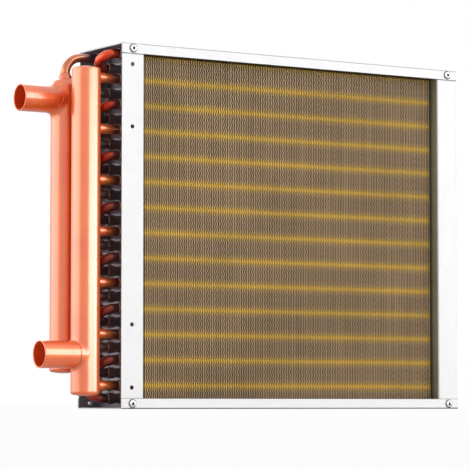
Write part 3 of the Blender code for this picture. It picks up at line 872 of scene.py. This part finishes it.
def make_channels():
    outline = sheet_outline(2 * CASING_Y, CHANNEL_LEG)

    def shaded_fold(centre, normal):
        """The outside of each fold is painted shade: grey along the top and darkest along the underside."""
        low = centre.z < SHEET
        high = centre.z > CASING_HEIGHT - SHEET
        outside = abs(centre.y) > CASING_Y - SHEET and (low or high)
        if outside and abs(normal.x) < 0.1 and 0.45 < abs(normal.z) < 0.9:
            return FOLD if high else EDGE_AND_SHADE
        return None

    extrude_sheet("bottom_casing_channel", ["bottom_channel"], outline,
                  lambda a, b, h: Vector((h, a, b)), -CASING_X, CASING_X, shaded_fold)
    extrude_sheet("top_casing_channel", ["top_channel"], outline,
                  lambda a, b, h: Vector((h, a, CASING_HEIGHT - b)), -CASING_X, CASING_X, shaded_fold)


def add_collars(shape, side, web):
    """Drawn collars round every tube hole, on the web's outer face."""
    face = side * (web + SHEET)
    profile = [(7.0, 0.0), (6.2, 0.25), (5.7, 0.9), (5.55, 2.0), (5.35, 2.35), (4.8, 2.3)]
    for row in ROWS:
        y = row_y(row)
        for number in range(1, TUBES_PER_ROW + 1):
            z = tube_z(row, number)
            loops = [ring(shape, Vector((face + side * out, y, z)), X_AXIS, Y_AXIS, radius, TUBE_HOLE_SIDES)
                     for radius, out in profile]
            for step, (near, far) in enumerate(zip(loops, loops[1:])):
                # The collar's foot is painted shade like the web; its rim is the dark cut edge
                bridge(shape, near, far, EDGE_AND_SHADE if step >= 3 else SHADED)


def add_web_beads(shape, side, web):
    """Shallow wavy stiffening beads pressed across the web, between the tube levels."""
    face = side * (web + SHEET)
    section = ((-1.5, -0.05), (-0.8, 0.55), (0.0, 0.8), (0.8, 0.55), (1.5, -0.05))
    half_width = 38
    clear_of_ends = 12
    count = 26
    for number in range(1, TUBES_PER_ROW + 1):
        for shift in (-0.25, 0.25):
            level = tube_z("front", number) + shift * TUBE_PITCH
            if not clear_of_ends < level < CASING_HEIGHT - clear_of_ends:
                continue
            rows = []
            for step in range(count + 1):
                y = -half_width + 2 * half_width * step / count
                wave = 0.9 * math.cos(math.pi * y / ROW_PITCH) * (1 if shift > 0 else -1)
                ends = max(0.0, math.sin(math.pi * step / count)) ** 0.35
                rows.append([shape.verts.new((face + side * rise * ends, y, level + wave + across))
                             for across, rise in section])
            for near, far in zip(rows, rows[1:]):
                for part in range(len(section) - 1):
                    made = shape.faces.new((near[part], near[part + 1], far[part + 1], far[part]))
                    # The beads carry a painted highlight
                    made.material_index = BEAD


def make_tube_sheets():
    low, high = SIDE_SHEET_INSET, CASING_HEIGHT - SIDE_SHEET_INSET

    def paint(centre, normal):
        """Painted shade on the web's face towards the fins, bright flanges, and painted shade on the inside
        of the header end's back flange.
        """
        web = RETURN_WEB_X if centre.x > 0 else HEADER_WEB_X
        if abs(centre.x) < web + 0.6 and abs(normal.x) > 0.9:
            return INNER
        if abs(normal.y) > 0.9 and abs(centre.x) > web + 2.0:
            return SHADED if centre.x < 0 and centre.y > 0 > normal.y else BRIGHT
        return None

    holes = [(Vector((-FLANGE_MIDDLE_X, -50, z)), Vector((-FLANGE_MIDDLE_X, -38, z)), FLANGE_HOLE_RADIUS)
             for z in FLANGE_HOLE_HEIGHTS]
    for name, node, side, web, cutters in (
        ("header_end_sheet", "header_tube_sheet", -1, HEADER_WEB_X, holes),
        ("return_end_sheet", "return_tube_sheet", 1, RETURN_WEB_X, ()),
    ):
        outline = sheet_outline(2 * SIDE_SHEET_Y, CASING_X - web)
        piece = extrude_sheet(name, [node], outline,
                              lambda a, b, h, s=side, w=web: Vector((s * (w + b), a, h)),
                              low, high, paint, cutters)
        shape = drawn_again(piece.data)
        add_collars(shape, side, web)
        add_web_beads(shape, side, web)
        store(shape, piece, 25)


def make_rivets():
    """Domed blind rivets with the broken mandrel in the middle and a swelled tail behind."""
    # each station is (radius, height over the flange, material of the strip that follows); material 1 is the
    # dark mandrel steel in the middle and painted shade round the head's edge
    profile = [(1.3, 0.2, 1), (1.6, 0.9, 1), (1.9, 1.5, 0), (2.4, 1.5, 0), (3.2, 1.15, 0), (3.75, 0.75, 1),
               (4.48, 0.15, 1), (4.4, 0.0, 0), (2.0, 0.0, 0), (2.0, -3.0, 0), (2.9, -3.6, 0), (3.0, -4.5, 0),
               (2.4, -5.6, 0), (1.2, -6.0, 0)]
    places = {}
    for facing, face in ((-1, "front"), (1, "back")):
        for z, level in ((CASING_HEIGHT - RIVET_INSET, "top"), (RIVET_INSET, "bottom")):
            for side, end in ((-1, "header_end"), (1, "return_end")):
                places[f"rivet_{face}_{level}_{end}"] = (side * FLANGE_MIDDLE_X, z, facing)
    for name, (x, z, facing) in places.items():
        shape = bmesh.new()
        axis = Vector((0, facing, 0))
        loops = [ring(shape, Vector((x, facing * (CASING_Y + out), z)), axis, X_AXIS, radius, RIVET_SIDES)
                 for radius, out, _ in profile]
        for near, far, (_, _, metal) in zip(loops, loops[1:], profile):
            bridge(shape, near, far, metal)
        cap(shape, loops[0], 1, flip=True)
        cap(shape, loops[-1], 0)
        bmesh.ops.recalc_face_normals(shape, faces=shape.faces)
        finish_piece("domed_" + name, shape, [RIVET_METAL, MANDREL_AND_RIM_SHADE], [name], 50.0)


make_fins()
make_hairpins()
make_return_bends()
make_header("front", FRONT_HEADER, FRONT_PORT_Z, range(2, 15, 2), False, FRONT_COLLAR)
make_header("back", BACK_HEADER, BACK_PORT_Z, range(3, 14, 2), True, BACK_COLLAR)
make_port("front", FRONT_PORT_Z)
make_port("back", BACK_PORT_Z)
make_top_feeder()
make_channels()
make_tube_sheets()
make_rivets()


# Studio

def area_light(name, azimuth, elevation, distance, width, height, radiance):
    """A soft box at a bearing from the part: azimuth 0 is in front, positive to the right."""
    a, e = math.radians(azimuth), math.radians(elevation)
    aim = Vector((-0.03, 0.0, 0.18))
    place = aim + Vector((math.sin(a) * math.cos(e), -math.cos(a) * math.cos(e), math.sin(e))) * distance
    data = bpy.data.lights.new(name, "AREA")
    data.shape = "RECTANGLE"
    data.size = width
    data.size_y = height
    data.energy = radiance * width * height * math.pi
    lamp = bpy.data.objects.new(name, data)
    lamp.location = place
    lamp.rotation_mode = "QUATERNION"
    lamp.rotation_quaternion = (aim - place).to_track_quat("-Z", "Y")
    lamp.visible_camera = False
    bpy.context.scene.collection.objects.link(lamp)


def make_world():
    """White where it is seen or reflected, and a plain level of light elsewhere."""
    world = bpy.data.worlds.new("studio")
    bpy.context.scene.world = world
    world.use_nodes = True
    tree = world.node_tree
    background = tree.nodes["Background"]
    background.inputs["Color"].default_value = (1, 1, 1, 1)
    rays = tree.nodes.new("ShaderNodeLightPath")
    seen = maths(tree, "MAXIMUM", rays.outputs["Is Camera Ray"], rays.outputs["Is Glossy Ray"])
    seen = maths(tree, "MAXIMUM", seen, rays.outputs["Is Transmission Ray"])
    strength = maths(tree, "ADD", maths(tree, "MULTIPLY", seen, 1 - WORLD_LIGHT), WORLD_LIGHT)
    tree.links.new(strength, background.inputs["Strength"])


def make_floor():
    """A pale floor that looks white to the camera and still takes the shadow."""
    bpy.ops.mesh.primitive_plane_add(size=30.0, location=(0, 0, 0))
    floor = bpy.context.object
    floor.name = "studio_floor"
    material, tree, shader = new_tree("studio_floor")
    shader.inputs["Base Color"].default_value = (FLOOR_GREY, FLOOR_GREY, FLOOR_GREY, 1.0)
    shader.inputs["Roughness"].default_value = 0.9
    rays = tree.nodes.new("ShaderNodeLightPath")
    glow = tree.nodes.new("ShaderNodeEmission")
    glow.inputs["Strength"].default_value = 1.0
    mix = tree.nodes.new("ShaderNodeMixShader")
    tree.links.new(maths(tree, "MULTIPLY", rays.outputs["Is Camera Ray"], FLOOR_WHITE), mix.inputs[0])
    tree.links.new(shader.outputs[0], mix.inputs[1])
    tree.links.new(glow.outputs[0], mix.inputs[2])
    tree.links.new(mix.outputs[0], tree.nodes["Material Output"].inputs["Surface"])
    floor.data.materials.append(material)


def make_camera():
    data = bpy.data.cameras.new("photo_camera")
    data.sensor_width = SENSOR_WIDTH
    data.lens = FOCAL_PIXELS * SENSOR_WIDTH / PHOTO_WIDTH
    data.clip_start = 0.05
    data.clip_end = 100.0
    camera = bpy.data.objects.new("photo_camera", data)
    camera.location = CAMERA_PLACE
    camera.rotation_euler = (math.radians(CAMERA_PITCH), 0.0, math.radians(CAMERA_YAW))
    bpy.context.scene.collection.objects.link(camera)
    bpy.context.scene.camera = camera


make_world()
make_floor()
make_camera()
area_light("front_strip", 18, 3.5, 12.0, 10.0, 1.75, 7.1)
area_light("side_strip", 66, 3.5, 12.0, 10.0, 1.75, 8.0)
area_light("tall_softbox", 33, 24, 6.0, 3.4, 2.6, 3.9)
area_light("left_softbox", -112, 12, 1.9, 2.6, 1.6, 1.7)
area_light("back_softbox", 165, 30, 2.0, 1.4, 1.2, 1.6)

bpy.context.scene.view_settings.view_transform = "Standard"
